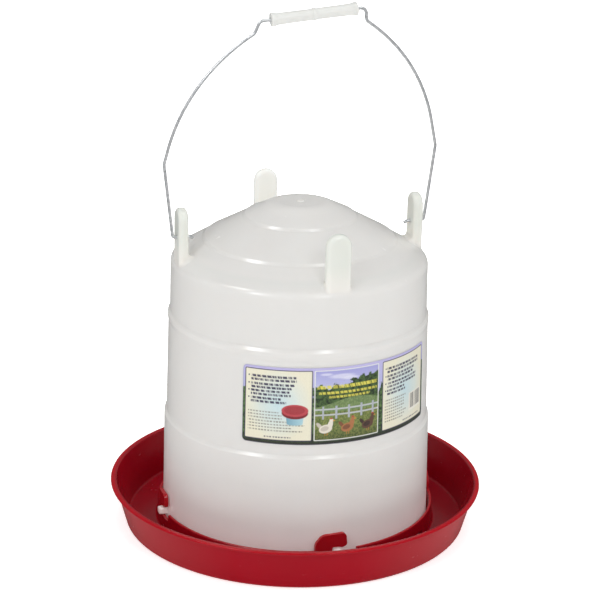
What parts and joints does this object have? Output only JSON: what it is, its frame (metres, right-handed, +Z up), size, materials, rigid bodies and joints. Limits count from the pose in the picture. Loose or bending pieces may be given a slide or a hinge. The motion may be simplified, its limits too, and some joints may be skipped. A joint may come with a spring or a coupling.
{
  "type": "poultry waterer fount",
  "caption": "Bell-shaped translucent water tank that twist-locks into a red drinking pan, with a wire carrying bail, loose grip and a screw filling plug under the pan.",
  "frame": {"origin": "on the tank's axis, in the plane the pan stands on", "axes": "+Z up along the tank's axis; -Y towards the side whose lock hook sits under the sticker; +X and -X towards the two tank feet that carry the bail"},
  "size_m": [0.406, 0.406, 0.5778],
  "materials": {
    "pan_red": "glossy injection-moulded polypropylene",
    "tank_white": "satin translucent polyethylene",
    "sticker": "printed film sticker, satin",
    "wire_zinc": "galvanised drawn wire",
    "grip_white": "smooth moulded plastic",
    "plug_black": "fine-textured moulded plastic",
    "seal": "matt rubber ring"
  },
  "bodies": {
    "base": {"base_pan": "pan_red"},
    "tank": {"tank": "tank_white", "label": "sticker"},
    "bail": {"bail_wire": "wire_zinc"},
    "grip": {"handle_grip": "grip_white"},
    "gasket": {"plug_gasket": "seal"},
    "plug": {"fill_plug": "plug_black"}
  },
  "joints": [
    {"name": "tank_twist", "type": "hinge", "parent": "base", "child": "tank", "pos_m": [0, 0, 0], "axis": [0, 0, 1], "range_deg": [0, 6.2]},
    {"name": "bail_swing", "type": "hinge", "parent": "tank", "child": "bail", "pos_m": [0, 0, 0.331], "axis": [1, 0, 0], "range_deg": [-146, 131.5]},
    {"name": "grip_spin", "type": "hinge", "parent": "bail", "child": "grip", "pos_m": [0.001, -0.0302, 0.56677], "axis": [0.996, -0.0114, 0.0891], "continuous": true},
    {"name": "plug_travel", "type": "slide", "parent": "base", "child": "gasket", "axis": [0, 0, -1], "range_m": [0, 0.012]},
    {"name": "plug_turn", "type": "hinge", "parent": "gasket", "child": "plug", "pos_m": [0.062, 0, 0.018], "axis": [0, 0, -1], "range_deg": [0, 1081]}
  ],
  "couplings": [
    {"joint": "plug_turn", "follows": "plug_travel", "rad_per_m": 1570.8}
  ]
}
